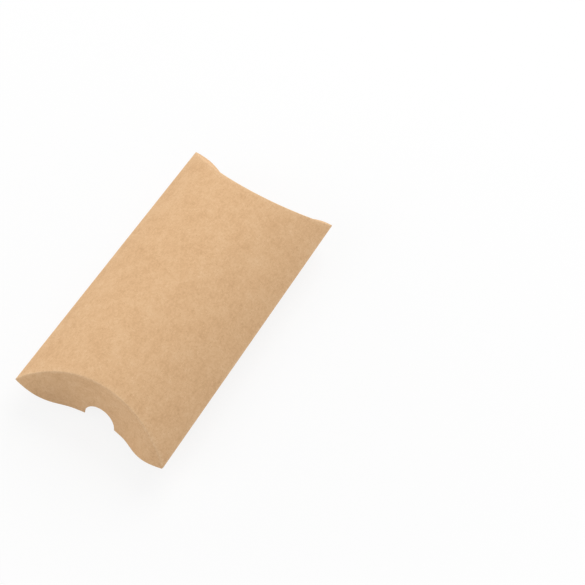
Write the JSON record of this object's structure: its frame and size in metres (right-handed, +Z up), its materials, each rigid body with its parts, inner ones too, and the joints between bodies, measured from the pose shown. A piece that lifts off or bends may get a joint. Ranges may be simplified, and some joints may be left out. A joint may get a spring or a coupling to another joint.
{
  "type": "pillow box",
  "caption": "Closed kraft board pillow box: bulged panels shut at each end by curved flaps, the outer ones with thumb notches.",
  "frame": {"origin": "under the middle of the box, on the surface it rests on", "axes": "+X along the long edges, towards the near end; +Y across the box, towards the glued long edge; +Z up, through the panel that carries the outer flaps"},
  "size_m": [0.1262, 0.0674, 0.0266],
  "materials": {
    "kraft_board": "uncoated, fine fibre flecks",
    "dried_glue": "translucent, dried"
  },
  "bodies": {
    "sleeve": {"top_panel": "kraft_board", "bottom_panel": "kraft_board", "seam_tab": "kraft_board", "seam_adhesive": "dried_glue"},
    "near_outer": {"near_outer_flap": "kraft_board"},
    "near_inner": {"near_inner_flap": "kraft_board"},
    "far_outer": {"far_outer_flap": "kraft_board"},
    "far_inner": {"far_inner_flap": "kraft_board"}
  },
  "joints": [
    {"name": "near_outer_crease", "type": "hinge", "parent": "sleeve", "child": "near_outer", "pos_m": [0.0513, 0, 0.0266], "axis": [0, -1, 0], "range_deg": [0, 100]},
    {"name": "near_inner_crease", "type": "hinge", "parent": "sleeve", "child": "near_inner", "pos_m": [0.0513, 0, 0], "axis": [0, 1, 0], "range_deg": [0, 50]},
    {"name": "far_outer_crease", "type": "hinge", "parent": "sleeve", "child": "far_outer", "pos_m": [-0.0513, 0, 0.0266], "axis": [0, 1, 0], "range_deg": [0, 100]},
    {"name": "far_inner_crease", "type": "hinge", "parent": "sleeve", "child": "far_inner", "pos_m": [-0.0513, 0, 0], "axis": [0, -1, 0], "range_deg": [0, 50]}
  ],
  "couplings": [
    {"joint": "near_inner_crease", "follows": "near_outer_crease", "ratio": 0.5},
    {"joint": "far_inner_crease", "follows": "far_outer_crease", "ratio": 0.5}
  ]
}
